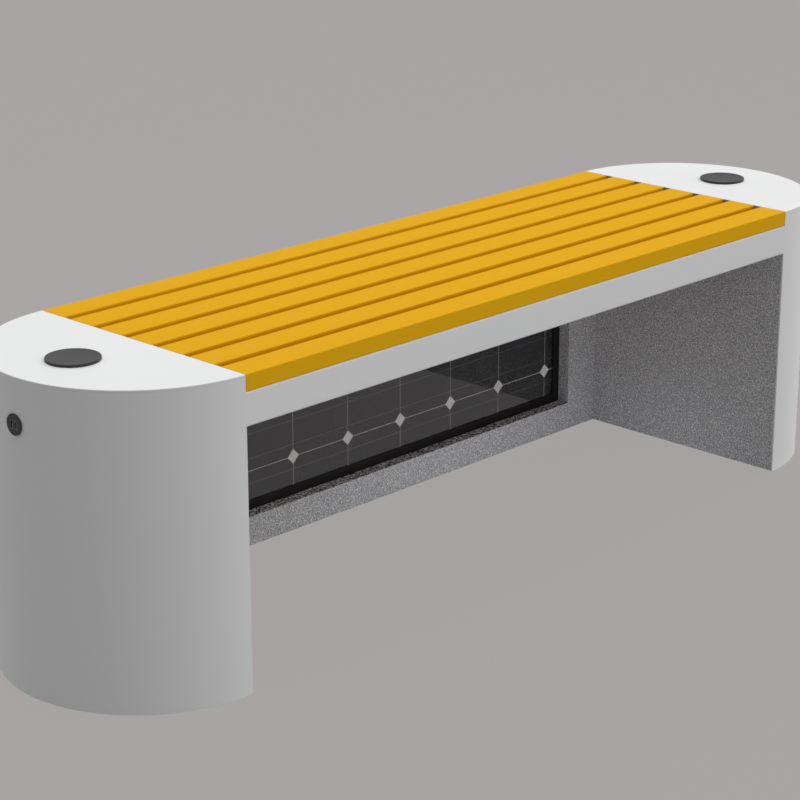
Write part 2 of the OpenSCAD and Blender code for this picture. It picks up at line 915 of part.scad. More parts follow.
module cleat_bolts() {
    color(steel) for (p = cleat_places)
        translate([p[0] * half_seat, p[1], cleat_bolt_z]) mirror([p[0] > 0 ? 1 : 0, 0, 0])
            mirror([0, p[2] > 0 ? 0 : 1, 0]) {
                translate([cleat_t, cleat_bolt_in, 0]) rotate([0, -90, 0])
                    bolt_and_nut(cleat_t + sheet_t);
                for (x = cleat_bolt_xs) translate([x, cleat_t, 0]) rotate([90, 0, 0])
                    bolt_and_nut(cleat_t + rail_wall);
            }
}

// Screws up into the slats, one in each slat at each bearer
module slat_screws() {
    color(steel) for (x = bearer_x, i = [1:slat_n]) {
        wall = i == 1 || i == slat_n ? rail_wall : bearer_t;
        translate([x, slat_screw_y(i), slat_z - wall]) {
            cylinder(d = screw_d, h = screw_l);
            translate([0, 0, -screw_head_h]) cylinder(d = screw_head_d, h = screw_head_h);
        }
    }
}

// Rear wall

// A rectangular ring in X and Z, from its outer size to its inner one
module wall_ring(y0, y1, out_x, out_z, in_x, in_z) {
    difference() {
        block([-out_x, y0, out_z[0]], [out_x, y1, out_z[1]]);
        block([-in_x, y0 - over, in_z[0]], [in_x, y1 + over, in_z[1]]);
    }
}

// Folded pan: front skin, edges with a lip at the back, and the window's deep reveal
// that ends in a lip for the module
module rear_wall() {
    window_z = [window_base, window_top];
    color(grey) difference() {
        union() {
            difference() {
                block([-half_seat, wall_front, 0], [half_seat, pan_back, wall_h]);
                block([-half_seat + wall_sheet, wall_front + wall_sheet, wall_sheet],
                    [half_seat - wall_sheet, pan_back - wall_sheet, wall_h - wall_sheet]);
                block([-half_seat + pan_lip, wall_front + wall_sheet, pan_lip],
                    [half_seat - pan_lip, pan_back + over, wall_h - pan_lip]);
                block([-window_x, wall_front - over, window_base],
                    [window_x, pan_back, window_top]);
            }
            wall_ring(wall_front, seat_lip_y + wall_sheet,
                window_x + wall_sheet, [window_base - wall_sheet, window_top + wall_sheet],
                window_x, window_z);
            wall_ring(seat_lip_y, seat_lip_y + wall_sheet,
                window_x + seat_lip_w, [window_base - seat_lip_w, window_top + seat_lip_w],
                window_x, window_z);
        }
        for (s = [-1, 1], z = wall_bolt_heights()) translate([s * half_seat, wall_bolt_y, z])
            x_rod(-wall_sheet - over, wall_sheet + over, bolt_hole_d);
        translate([-half_seat, panel_cable_y, panel_cable_z])
            x_rod(-over, wall_sheet + over, grommet_hole_d);
        for (p = cover_screw_places) translate([p[0], 0, p[1]])
            y_rod(pan_back - wall_sheet - over, pan_back + over, cover_screw_d + 2 * screw_clear);
    }
}

cover_screw_x = half_seat - pan_lip / 2;
cover_screw_z = [pan_lip / 2, wall_h - pan_lip / 2];
cover_places_share = [-1, -0.5, 0, 0.5, 1];
cover_screw_places = concat(
    [for (s = cover_places_share, z = cover_screw_z) [s * cover_screw_x, z]],
    [for (s = [-1, 1]) [s * cover_screw_x, wall_h / 2]]);

// Countersunk screw from the wall's back face inwards, at Y = 0; grow widens it
module cover_screw(grow) {
    y_rod(-cover_screw_l, 0, cover_screw_d + grow);
    translate([0, -wall_sheet, 0]) rotate([-90, 0, 0])
        cylinder(d1 = cover_screw_d + grow, d2 = cover_head_d + grow, h = wall_sheet);
}

// Flat cover that closes the wall from behind and clamps the module's edge
module rear_cover() {
    color(white) difference() {
        wall_ring(cover_y, half_depth, half_seat, [0, wall_h],
            frame_x - rear_lap, [frame_z0 + rear_lap, frame_z1 - rear_lap]);
        for (p = cover_screw_places) translate([p[0], half_depth, p[1]])
            cover_screw(2 * screw_clear);
    }
}

module cover_screws() {
    color(steel) for (p = cover_screw_places) translate([p[0], half_depth, p[1]])
        cover_screw(0);
}

// Bolts from inside the wall through its folded ends into the pedestals
module wall_bolts() {
    color(steel) both_ends() for (z = wall_bolt_heights())
        translate([-half_seat + wall_sheet, wall_bolt_y, z]) rotate([0, -90, 0])
            bolt_and_nut(wall_sheet + sheet_t);
}

// Solar module

module panel_gasket() {
    y0 = seat_lip_y + wall_sheet;
    color(black) wall_ring(y0, y0 + gasket_t, frame_x, [frame_z0, frame_z1],
        window_x + pane_clear, [window_base - pane_clear, window_top + pane_clear]);
}

// Angle-section frame: a wide front lip and a web around the panes' edges
module panel_frame() {
    color(black) union() {
        wall_ring(glass_y - frame_lip_t, glass_y, frame_x, [frame_z0, frame_z1],
            view_x, [view_z0, view_z1]);
        wall_ring(glass_y, pane_back_y, frame_x, [frame_z0, frame_z1],
            frame_x - frame_web, [frame_z0 + frame_web, frame_z1 - frame_web]);
    }
}

module pane(y0) {
    edge = frame_web + pane_clear;
    block([-frame_x + edge, y0, frame_z0 + edge],
        [frame_x - edge, y0 + pane_t, frame_z1 - edge]);
}

module front_glass() {
    color([0.55, 0.62, 0.66, 0.35]) pane(glass_y);
}

module rear_glass() {
    color([0.55, 0.62, 0.66, 0.35]) pane(glass_y + pane_t + laminate_t);
}

// One cell from its low corner: a square with its corners cut
module cell_outline() {
    c = cell_cut;
    polygon([[c, 0], [cell - c, 0], [cell, c], [cell, cell - c],
        [cell - c, cell], [c, cell], [0, cell - c], [0, c]]);
}

// Wafers of all the cells, cut off where they have gone far enough under the frame's lip
module solar_cells() {
    color(blue_black) xz_plate(wafer_y, wafer_t) intersection() {
        for (x = cell_xs, z = cell_zs) translate([x, z]) cell_outline();
        translate([-wafer_x, view_z0 - wafer_under])
            square([2 * wafer_x, view_z1 - view_z0 + wafer_under]);
    }
}

// Ribbons along the rows, on the front face of the wafers
ribbon_zs = [for (z = cell_zs, k = [0:ribbon_n - 1])
    let(at = z + (k + 0.5) * ribbon_step)
    if (at > view_z0 + ribbon_w) at];

module cell_ribbons() {
    color(steel) for (z = ribbon_zs)
        block([-wafer_x, wafer_y - ribbon_t, z - ribbon_w / 2],
            [wafer_x, wafer_y, z + ribbon_w / 2]);
}

// Edge junction box in the wall's left margin, its tongue against the module's frame
module junction_box() {
    x0 = -half_seat + box_in;
    back = pan_back - box_tongue;
    color(black) {
        block([x0, wall_front + wall_sheet, box_z], [x0 + box_w, back, box_z + box_h]);
        block([x0 + box_w, back - box_tongue, box_z + box_h / 4],
            [-frame_x, back, box_z + box_h * 3 / 4]);
    }
}

module panel_cable() {
    color(black) cable(panel_route, cable_r, 3 * cable_r);
}

// Rubber grommet along X that fills a hole through sheets from x0 to x1
module grommet(x0, x1) {
    difference() {
        union() {
            x_rod(x0 - grommet_flange, x1 + grommet_flange, grommet_hole_d - screw_clear);
            x_rod(x0 - grommet_flange, x0, grommet_d);
            x_rod(x1, x1 + grommet_flange, grommet_d);
        }
        x_rod(x0 - 2 * grommet_flange, x1 + 2 * grommet_flange, cable_d + 2 * screw_clear);
    }
}

module cable_grommets() {
    color(black) {
        at_left() translate([0, panel_cable_y, panel_cable_z]) grommet(-sheet_t, wall_sheet);
        both_ends() at_left() translate([0, rail_cable_y, rail_cable_z]) grommet(-sheet_t, 0);
    }
}

// Service door

module service_door() {
    slot_y = door_y0 + door_w / 2;
    low_vents = door_base + door_lap + vent_in / 2;
    high_vents = door_z1 - door_lap - vent_in / 2 - (vent_n - 1) * vent_pitch;
    color(grey) at_left() difference() {
        yz_plate(door_x, door_t) round_rect([door_y0, door_base], [door_w, door_h], door_r);
        for (z0 = [low_vents, high_vents], k = [0:vent_n - 1])
            yz_plate(door_x - over, door_t + 2 * over)
                translate([slot_y, z0 + k * vent_pitch]) slot(vent_w, vent_h);
        translate([0, lock_y, lock_z])
            x_rod(door_x - over, door_face + over, lock_sleeve_d + 2 * screw_clear);
    }
}

// Seal glued to the door's back, around the doorway
module door_gasket() {
    edge = (door_lap - gasket_w) / 2;
    color(black) at_left() yz_plate(door_gap, door_gasket_t) difference() {
        round_rect([door_y0 + edge, door_base + edge],
            [door_w - 2 * edge, door_h - 2 * edge], door_r - edge);
        round_rect([door_y0 + edge + gasket_w, door_base + edge + gasket_w],
            [door_w - 2 * edge - 2 * gasket_w, door_h - 2 * edge - 2 * gasket_w], doorway_r / 2);
    }
}

// One knuckle of a hinge, counted from the bottom
module knuckle(z0, k) {
    translate([hinge_x, hinge_y, z0 + k * (knuckle_h + knuckle_gap)])
        cylinder(d = knuckle_d, h = knuckle_h);
}

module knuckle_bore(z0) {
    translate([hinge_x, hinge_y, z0 - over])
        cylinder(d = pin_d + 2 * pin_clear, h = hinge_h + 2 * over);
}

// Leaves on the pedestal's wall, each with its outer two knuckles
module hinge_frame_leaves() {
    y0 = hinge_y + knuckle_d / 2 + leaf_clear;
    color(steel) at_left() for (z = hinge_zs) difference() {
        union() {
            block([0, y0, z], [leaf_t, y0 + leaf_w, z + hinge_h]);
            for (k = [0, knuckle_n - 1]) {
                knuckle(z, k);
                block([0, hinge_y, z + k * (knuckle_h + knuckle_gap)],
                    [hinge_x, y0, z + k * (knuckle_h + knuckle_gap) + knuckle_h]);
            }
        }
        knuckle_bore(z);
    }
}

// Leaves on the door, each with its middle knuckle
module hinge_door_leaves() {
    color(steel) at_left() for (z = hinge_zs) difference() {
        union() {
            block([door_face, door_y1 - leaf_w, z],
                [door_face + leaf_t, door_y1, z + hinge_h]);
            block([door_face, door_y1 - leaf_w, z + knuckle_h + knuckle_gap],
                [door_face + leaf_t, hinge_y, z + 2 * knuckle_h + knuckle_gap]);
            knuckle(z, 1);
        }
        knuckle_bore(z);
    }
}

module hinge_pins() {
    color(steel) at_left() for (z = hinge_zs) translate([hinge_x, hinge_y, z]) {
        cylinder(d = pin_d, h = hinge_h);
        translate([0, 0, hinge_h]) cylinder(d = knuckle_d - 2 * pin_head_h, h = pin_head_h);
    }
}

module at_lock() {
    at_left() translate([0, lock_y, lock_z]) children();
}

module lock_body() {
    color(steel) at_lock() difference() {
        union() {
            x_rod(door_face, door_face + lock_flange_t, lock_flange_d);
            x_rod(-sheet_t, door_face, lock_sleeve_d);
        }
        x_rod(-sheet_t - over, door_face + lock_flange_t + over, lock_core_d + 2 * lock_clear);
    }
}

module lock_nut() {
    color(steel) at_lock() difference() {
        translate([door_x - lock_nut_t, 0, 0]) rotate([0, 90, 0])
            cylinder(d = lock_nut_d, h = lock_nut_t, $fn = 6);
        x_rod(door_x - lock_nut_t - over, door_x + over, lock_sleeve_d + 2 * screw_clear);
    }
}

// Core with a three-sided key recess and the cam; unlatched, the cam hangs down
module lock_core() {
    cam_x = -sheet_t - cam_gap - cam_t;
    front = door_face + lock_flange_t - lock_inset;
    color(steel) at_lock() {
        difference() {
            x_rod(cam_x, front, lock_core_d);
            translate([front - key_depth, 0, 0]) rotate([0, 90, 0])
                cylinder(d = key_d, h = key_depth + over, $fn = 3);
        }
        yz_plate(cam_x, cam_t) difference() {
            union() {
                translate([-cam_w / 2, cam_w / 2 - cam_l]) square([cam_w, cam_l - cam_w / 2]);
                translate([0, cam_w / 2 - cam_l]) circle(d = cam_w);
                circle(d = cam_w);
            }
            circle(d = lock_core_d - 2 * lock_clear);
        }
    }
}

// Power unit

module at_battery() {
    translate([battery_x, 0, 0]) children();
}

// Folded tray: legs down to the base plate along its sides, lips at its ends
module battery_tray() {
    half_x = battery_w / 2 + tray_margin_x;
    half_y = battery_l / 2 + tray_margin_y;
    color(steel) at_battery() difference() {
        union() {
            block([-half_x, -half_y, battery_z - tray_t], [half_x, half_y, battery_z]);
            for (s = [-1, 1]) {
                block([s * (half_x - tray_t / 2) - tray_t / 2, -half_y, base_t],
                    [s * (half_x - tray_t / 2) + tray_t / 2, half_y, battery_z]);
                block([-half_x, s * (half_y - tray_t / 2) - tray_t / 2, battery_z - tray_t],
                    [half_x, s * (half_y - tray_t / 2) + tray_t / 2, battery_z + tray_lip]);
            }
        }
        for (s = [-1, 1]) translate([s * strap_screw_x, 0, battery_z - tray_t - over])
            cylinder(d = strap_screw_d + 2 * screw_clear, h = tray_t + 2 * over);
    }
}

strap_screw_x = battery_w / 2 + strap_clear + strap_t + strap_foot / 2;

module battery() {
    color([0.20, 0.22, 0.25]) at_battery() {
        translate([0, 0, battery_z]) linear_extrude(battery_h)
            round_rect([-battery_w / 2, -battery_l / 2], [battery_w, battery_l], battery_r);
        translate([0, inlet_at, battery_z + battery_h]) cylinder(d = inlet_d, h = inlet_h);
    }
}

// Hold-down strap over the battery, with a foot at each side
module battery_strap() {
    inner = battery_w / 2 + strap_clear;
    top = battery_z + battery_h + strap_clear;
    color(steel) at_battery() difference() {
        union() {
            block([-inner - strap_t, -strap_w / 2, top],
                [inner + strap_t, strap_w / 2, top + strap_t]);
            for (s = [-1, 1]) mirror([s > 0 ? 0 : 1, 0, 0]) {
                block([inner, -strap_w / 2, battery_z], [inner + strap_t, strap_w / 2, top]);
                block([inner, -strap_w / 2, battery_z],
                    [inner + strap_t + strap_foot, strap_w / 2, battery_z + strap_t]);
            }
        }
        for (s = [-1, 1]) translate([s * strap_screw_x, 0, battery_z - over])
            cylinder(d = strap_screw_d + 2 * screw_clear, h = strap_t + 2 * over);
    }
}

module strap_screws() {
    color(steel) at_battery() for (s = [-1, 1])
        translate([s * strap_screw_x, 0, battery_z - tray_t]) {
            cylinder(d = strap_screw_d, h = tray_t + strap_t);
            translate([0, 0, tray_t + strap_t]) cylinder(d = strap_head_d, h = strap_head_h);
        }
}

// Finned controller on the pedestal's inner wall, its cables in at the top
module charge_controller() {
    y0 = control_y1 - control_w;
    fins = floor((control_w - 2 * fin_margin) / fin_pitch);
    color(blue_black) at_left() difference() {
        block([-sheet_t - control_d, y0, control_z],
            [-sheet_t, control_y1, control_z + control_h]);
        for (k = [0:fins - 1])
            block([-sheet_t - fin_depth, y0 + fin_margin + k * fin_pitch, control_z - over],
                [-sheet_t + over, y0 + fin_margin + k * fin_pitch + fin_slot,
                    control_z + control_h + over]);
    }
}

module battery_cable() {
    color(black) cable(battery_route, cable_r, 4 * cable_r);
}

module charger_cable() {
    color(black) cable(charger_route, cable_r, 4 * cable_r);
}

module seat_cable() {
    color(black) cable(seat_route, cable_r, 4 * cable_r);
}

left_shell();
left_inner_wall();
left_top_cover();
left_base_plate();
right_shell();
right_inner_wall();
right_top_cover();
right_base_plate();
base_screws();
left_charger_pad();
right_charger_pad();
charger_coils();
charger_bases();
charger_nuts();
left_usb_socket();
right_usb_socket();
usb_nuts();
usb_cables();
slat_1();
slat_2();
slat_3();
slat_4();
slat_5();
slat_6();
slat_7();
front_apron();
rear_rail();
seat_bearers();
rail_cleats();
cleat_bolts();
slat_screws();
rear_wall();
rear_cover();
cover_screws();
wall_bolts();
panel_gasket();
panel_frame();
front_glass();
solar_cells();
cell_ribbons();
rear_glass();
junction_box();
panel_cable();
cable_grommets();
service_door();
door_gasket();
hinge_frame_leaves();
hinge_door_leaves();
hinge_pins();
lock_body();
lock_nut();
lock_core();
battery_tray();
battery();
battery_strap();
strap_screws();
charge_controller();
battery_cable();
charger_cable();
seat_cable();
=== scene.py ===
"""Solar charging bench: two half-round white pedestals, a seat of seven yellow slats, and a
rear wall that holds a glass solar module. Everything is in metres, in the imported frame."""

import json
import math

import bmesh
import bpy
import numpy as np
from mathutils import Matrix, Vector


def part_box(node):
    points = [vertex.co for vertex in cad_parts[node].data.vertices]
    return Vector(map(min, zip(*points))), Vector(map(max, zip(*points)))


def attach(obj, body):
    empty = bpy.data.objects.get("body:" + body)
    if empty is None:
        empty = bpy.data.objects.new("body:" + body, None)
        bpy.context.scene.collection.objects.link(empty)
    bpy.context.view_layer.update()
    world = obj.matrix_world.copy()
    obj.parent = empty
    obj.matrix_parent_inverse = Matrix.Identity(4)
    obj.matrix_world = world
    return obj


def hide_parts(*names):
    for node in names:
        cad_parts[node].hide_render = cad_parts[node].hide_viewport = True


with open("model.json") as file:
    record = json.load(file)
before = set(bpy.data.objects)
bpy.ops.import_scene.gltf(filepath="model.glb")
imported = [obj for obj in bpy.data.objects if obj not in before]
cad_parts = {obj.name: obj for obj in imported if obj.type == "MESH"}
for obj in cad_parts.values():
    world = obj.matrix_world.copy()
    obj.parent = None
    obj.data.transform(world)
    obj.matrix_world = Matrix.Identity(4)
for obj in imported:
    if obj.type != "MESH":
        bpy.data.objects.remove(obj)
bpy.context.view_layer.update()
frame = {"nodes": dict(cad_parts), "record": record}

# Camera: it stands at the bench's front left, a little above, with a long lens. Azimuth 0
# looks along +Y, and the aim is a point inside the bench.
azimuth, elevation, roll = (math.radians(a) for a in (-45.9989, 18.6018, -0.0963))
aim = Vector((-0.05207, 0.04181, 0.235))
camera_away = 3.7574
back = Vector(
    (
        math.sin(azimuth) * math.cos(elevation),
        -math.cos(azimuth) * math.cos(elevation),
        math.sin(elevation),
    )
)
level = Vector((0, 0, 1)).cross(back).normalized()
upright = back.cross(level)
right = level * math.cos(roll) + upright * math.sin(roll)
above = upright * math.cos(roll) - level * math.sin(roll)
lens = bpy.data.cameras.new("view")
lens.sensor_width = 36
lens.lens = 105.2
lens.clip_end = 100
camera = bpy.data.objects.new("view", lens)
camera.matrix_world = Matrix((right, above, back)).transposed().to_4x4()
camera.location = aim + back * camera_away
bpy.context.scene.collection.objects.link(camera)
bpy.context.scene.camera = camera
bpy.context.scene.view_settings.view_transform = "Standard"

# Studio: a plain grey floor that runs to the horizon, a sky of the same grey that is
# brighter on the right, and three soft lamps. The floor keeps part of the bench's shadow.
# Towards the bench the floor glows rather than reflects: evenly, and brighter in a painted
# pool of light under the right half of the seat, like a reflector sheet.
studio_grey = (0.407, 0.381, 0.381, 1)
bright_way, glow_dim, glow_bright = (0.972, 0.236, 0), 0.15, 1.6
floor_reach, floor_drop = 30, 0.0002
glow_pool_middle, glow_pool_squeeze = (0.29, -0.02, 0.0), (1.0, 2.0, 0.0)
glow_pool_edge, glow_pool_full = 0.62, 0.14
floor_glow_even, floor_glow_pool = (0.235, 0.235, 0.235), (0.70, 0.69, 0.71)


def node(tree, kind, *terms, **values):
    """Adds a node. The terms go to its inputs in order, a value with a capital first letter to
    the input of that name, and any other value is a setting of the node. An output socket is
    joined to its input, and anything else becomes the input's own value."""
    made = tree.nodes.new("ShaderNode" + kind)
    given = list(zip(made.inputs, terms))
    for name, value in values.items():
        if name[0].isupper():
            given.append((made.inputs[name.replace("_", " ")], value))
        else:
            setattr(made, name, value)
    for slot, value in given:
        if isinstance(value, bpy.types.NodeSocket):
            tree.links.new(value, slot)
        else:
            slot.default_value = value
    return made


def calc(tree, operation, *terms, kind="Math"):
    """The result of a maths node, or of a VectorMath node if kind says so."""
    made = node(tree, kind, *terms, operation=operation)
    number = kind == "Math" or operation in ("DOT_PRODUCT", "LENGTH")
    return made.outputs["Value" if number else "Vector"]


def ramp(tree, value, low, high, to_low=0.0, to_high=1.0):
    """A value carried from the span low to high onto to_low to to_high, and held at its ends:
    to_low plus the share of the first span that it has covered, times the second span."""
    made = node(
        tree, "MapRange", Value=value, From_Min=low, From_Max=high, To_Min=to_low, To_Max=to_high
    )
    return made.outputs[0]


def any_of(tree, *rays):
    """A factor that is 1 on a ray of any of the named kinds: the largest of their flags."""
    path = tree.nodes.new("ShaderNodeLightPath")
    total = path.outputs[rays[0]]
    for ray in rays[1:]:
        total = calc(tree, "MAXIMUM", total, path.outputs[ray])
    return total


def mixed(tree, factor, first, second):
    """A colour between two, each a plain colour or an output socket."""
    mix = tree.nodes.new("ShaderNodeMix")
    mix.data_type = "RGBA"
    tree.links.new(factor, mix.inputs["Factor"])
    for name, colour in (("A", first), ("B", second)):
        slot = [s for s in mix.inputs if s.name == name and s.type == "RGBA"][0]
        if isinstance(colour, bpy.types.NodeSocket):
            tree.links.new(colour, slot)
        else:
            slot.default_value = (*colour, 1)
    return [s for s in mix.outputs if s.type == "RGBA"][0]


sky = bpy.data.worlds.new("sky")
bpy.context.scene.world = sky
sky.use_nodes = True
tree = sky.node_tree
way = node(tree, "TexCoord").outputs["Generated"]
towards = calc(tree, "DOT_PRODUCT", way, bright_way, kind="VectorMath")
lit = node(tree, "Background", Color=ramp(tree, towards, -1, 1, glow_dim, glow_bright))
seen = node(tree, "Background", Color=studio_grey)
direct = any_of(tree, "Is Camera Ray", "Is Glossy Ray", "Is Transmission Ray")
both = node(tree, "MixShader", direct, lit.outputs[0], seen.outputs[0])
tree.links.new(both.outputs[0], tree.nodes["World Output"].inputs["Surface"])

floor_mesh = bpy.data.meshes.new("floor")
floor_corners = [(-1, -1), (1, -1), (1, 1), (-1, 1)]
floor_mesh.from_pydata(
    [(x * floor_reach, y * floor_reach, -floor_drop) for x, y in floor_corners],
    [],
    [(0, 1, 2, 3)],
)
floor = bpy.data.objects.new("floor", floor_mesh)
bpy.context.scene.collection.objects.link(floor)
paving = bpy.data.materials.new("studio_floor")
paving.use_nodes = True
tree = paving.node_tree
matt = tree.nodes["Principled BSDF"]
matt.inputs["Base Color"].default_value = studio_grey
matt.inputs["Roughness"].default_value = 0.9
matt.inputs["Specular IOR Level"].default_value = 0
direct = any_of(tree, "Is Camera Ray", "Is Glossy Ray", "Is Transmission Ray")
spot = node(tree, "TexCoord").outputs["Object"]
spot = calc(tree, "SUBTRACT", spot, glow_pool_middle, kind="VectorMath")
spot = calc(tree, "MULTIPLY", spot, glow_pool_squeeze, kind="VectorMath")
off = calc(tree, "LENGTH", spot, kind="VectorMath")
near = ramp(tree, off, glow_pool_edge, glow_pool_full)
# painted light: the floor's glow towards the bench, brighter in a pool under the seat
floor_glow = mixed(tree, near, floor_glow_even, floor_glow_pool)
even = node(tree, "Emission", Color=mixed(tree, direct, floor_glow, studio_grey[:3]))
share = ramp(tree, direct, 0, 1, 0.8, 0.92)
both = node(tree, "MixShader", share, matt.outputs[0], even.outputs[0])
tree.links.new(both.outputs[0], tree.nodes["Material Output"].inputs["Surface"])
floor_mesh.materials.append(paving)


def lamp(name, at, aim_at, size, watts):
    """A square soft lamp at a place, turned towards a point."""
    light = bpy.data.lights.new(name, "AREA")
    light.size = size
    light.energy = watts
    made = bpy.data.objects.new(name, light)
    made.location = at
    made.rotation_euler = (Vector(aim_at) - Vector(at)).to_track_quat("-Z", "Y").to_euler()
    bpy.context.scene.collection.objects.link(made)


lamp("overhead", (0.3, 0.2, 3.2), (0, 0, 0.3), size=3.0, watts=13.5)
lamp("right_side", (3.4, -0.6, 1.6), (0.2, 0, 0.3), size=2.0, watts=9)
lamp("front", (2.2, -3.0, 1.2), (0.3, 0, 0.3), size=2.0, watts=1.6)

# Pedestals: two half-round cases of 3 mm steel sheet, white outside. Each has a curved shell,
# a cover welded on and ground flush, a flat inner wall with a grey textured coat, and a base
# plate that the shell is screwed to.
smooth_below, bevel_above = math.radians(33), math.radians(40)
flat_below = math.radians(0.2)


def grain_nodes():
    """The group that all finishes share. It puts out three noises of the object's own
    coordinates: a slow patch, a fine grain, and flecks where the grain passes a level. Its
    fourth output marks worn edges: where a rounded normal turns away from the true one."""
    group = bpy.data.node_groups.new("surface_grain", "ShaderNodeTree")
    for in_out, names in (
        ("INPUT", ("Grain Scale", "Patch Scale", "Fleck Level")),
        ("OUTPUT", ("Patch", "Grain", "Fleck", "Edge")),
    ):
        for name in names:
            group.interface.new_socket(
                name=name, in_out=in_out, socket_type="NodeSocketFloat"
            )
    given = group.nodes.new("NodeGroupInput").outputs
    result = group.nodes.new("NodeGroupOutput").inputs
    straight = node(group, "TexCoord").outputs["Object"]
    askew = node(group, "VectorRotate", straight, Axis=(0.6, 0.5, 0.7), Angle=0.9)
    where = askew.outputs["Vector"]
    slow = node(group, "TexNoise", where, Scale=given["Patch Scale"], Detail=3.0)
    fine = node(
        group, "TexNoise", where, Scale=given["Grain Scale"], Detail=5.0, Roughness=0.75
    )
    patch, grain = slow.outputs["Fac"], fine.outputs["Fac"]
    fleck_full = calc(group, "ADD", given["Fleck Level"], 0.05)
    fleck = ramp(group, grain, given["Fleck Level"], fleck_full)
    true_normal = node(group, "NewGeometry").outputs["Normal"]
    round_normal = node(group, "Bevel", samples=3, Radius=0.0012).outputs["Normal"]
    turn = calc(group, "DOT_PRODUCT", true_normal, round_normal, kind="VectorMath")
    edge = calc(group, "MULTIPLY", ramp(group, turn, 0.985, 0.85), patch)
    for name, value in (("Patch", patch), ("Grain", grain), ("Fleck", fleck), ("Edge", edge)):
        group.links.new(value, result[name])
    return group


surface_grain = grain_nodes()


def finish(
    name,
    colour,
    roughness,
    grain=900,
    depth=0.00003,
    mottle=0.03,
    fleck=None,
    level=0.6,
    patch=6,
    metallic=0.0,
    shine=0.5,
):
    """A painted, plated or moulded surface. colour is mottled up and down by a share, fleck is
    a second colour on the grain's peaks above level, the gloss is uneven, and depth is the
    bump of the grain. Along its edges the surface is rubbed darker and smoother."""
    smudge, rubbed_tone, rubbed_gloss = 0.05, 0.88, -0.15
    made = bpy.data.materials.new(name)
    made.use_nodes = True
    tree = made.node_tree
    shader = tree.nodes["Principled BSDF"]
    shader.inputs["Metallic"].default_value = metallic
    shader.inputs["Specular IOR Level"].default_value = shine
    source = tree.nodes.new("ShaderNodeGroup")
    source.node_tree = surface_grain
    source.inputs["Grain Scale"].default_value = grain
    source.inputs["Patch Scale"].default_value = patch
    source.inputs["Fleck Level"].default_value = level
    patches, grains, flecks, edges = source.outputs
    darker, lighter = [[c * (1 + sign * mottle) for c in colour] for sign in (-1, 1)]
    shade = mixed(tree, patches, darker, lighter)
    if fleck is not None:
        shade = mixed(tree, flecks, shade, fleck)
    shade = mixed(tree, edges, shade, [c * rubbed_tone for c in colour])
    tree.links.new(shade, shader.inputs["Base Color"])
    gloss = ramp(tree, patches, 0.3, 0.7, roughness - smudge, roughness + smudge)
    gloss = calc(tree, "MULTIPLY_ADD", edges, rubbed_gloss, gloss)
    tree.links.new(gloss, shader.inputs["Roughness"])
    bump = node(tree, "Bump", Height=grains, Distance=depth)
    tree.links.new(bump.outputs[0], shader.inputs["Normal"])
    return made


white_coat = finish(
    "white_coat", (0.84, 0.845, 0.85), 0.5, grain=700, depth=0.00002, mottle=0.012, shine=0.1
)
grey_coat = finish(
    "grey_coat",
    (0.35, 0.36, 0.38),
    0.75,
    grain=470,
    depth=0.0004,
    mottle=0.06,
    fleck=(0.90, 0.895, 0.91),
    level=0.5,
    shine=0.1,
)
zinc = finish(
    "zinc_steel", (0.60, 0.61, 0.63), 0.36, grain=300, mottle=0.08, patch=60, metallic=0.9
)

nodes = frame["nodes"]
bodies = frame["record"]["behaviour"]["bodies"]
body_of = {name: body for body, names in bodies.items() for name in names}


def place(name, mesh, material, *stands_for, body="root", slot=None):
    """Makes a piece: its material, its body and the CAD nodes it stands for; slot is not used."""
    made = bpy.data.objects.new(name, mesh)
    bpy.context.scene.collection.objects.link(made)
    mesh.materials.clear()
    mesh.materials.append(material)
    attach(made, body)
    if stands_for:
        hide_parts(*stands_for)
    return made


def softened(material, width, *names):
    """Stands in for CAD nodes whose shape is right: each is a copy with its doubles and flat
    faces merged, smooth round its curves, and with its sharp edges rounded by width."""
    for name in names:
        mesh = nodes[name].data.copy()
        work = bmesh.new()
        work.from_mesh(mesh)
        bmesh.ops.remove_doubles(work, verts=work.verts, dist=0.00001)
        bmesh.ops.dissolve_limit(
            work, angle_limit=flat_below, verts=work.verts, edges=work.edges
        )
        for face in work.faces:
            face.smooth = True
        work.to_mesh(mesh)
        work.free()
        mesh.set_sharp_from_angle(angle=smooth_below)
        made = place(name + "_dressed", mesh, material, name, body=body_of[name])
        if width:
            bevel = made.modifiers.new("edges", "BEVEL")
            bevel.width = width
            bevel.segments = 2
            bevel.angle_limit = bevel_above
        flats = made.modifiers.new("flats", "WEIGHTED_NORMAL")
        flats.weight = 100
        flats.keep_sharp = True


softened(white_coat, 0.0004, "left_shell", "right_shell")
softened(white_coat, 0.0003, "left_top_cover", "right_top_cover")
softened(grey_coat, 0.0005, "left_inner_wall", "right_inner_wall")
softened(zinc, 0.0004, "left_base_plate", "right_base_plate")


def loft(name, rings, capped=True):
    """A mesh through closed rings of points, an array of rings by points by 3. Each ring is
    joined to the next by quads, and capped closes the first and the last ring. Doubles are
    merged, the faces turned outwards, and the curves shaded smooth."""
    rings = np.asarray(rings, float)
    count, size = rings.shape[:2]
    at = np.arange(count * size).reshape(count, size)
    low, high = at[:-1], at[1:]
    quads = np.stack([low, np.roll(low, -1, 1), np.roll(high, -1, 1), high], -1)
    faces = quads.reshape(-1, 4).tolist()
    if capped:
        faces += [at[0][::-1].tolist(), at[-1].tolist()]
    mesh = bpy.data.meshes.new(name)
    mesh.from_pydata(rings.reshape(-1, 3).tolist(), [], faces)
    work = bmesh.new()
    work.from_mesh(mesh)
    bmesh.ops.remove_doubles(work, verts=work.verts, dist=0.000002)
    bmesh.ops.recalc_face_normals(work, faces=work.faces)
    for face in work.faces:
        face.smooth = True
    work.to_mesh(mesh)
    work.free()
    mesh.set_sharp_from_angle(angle=smooth_below)
    return mesh


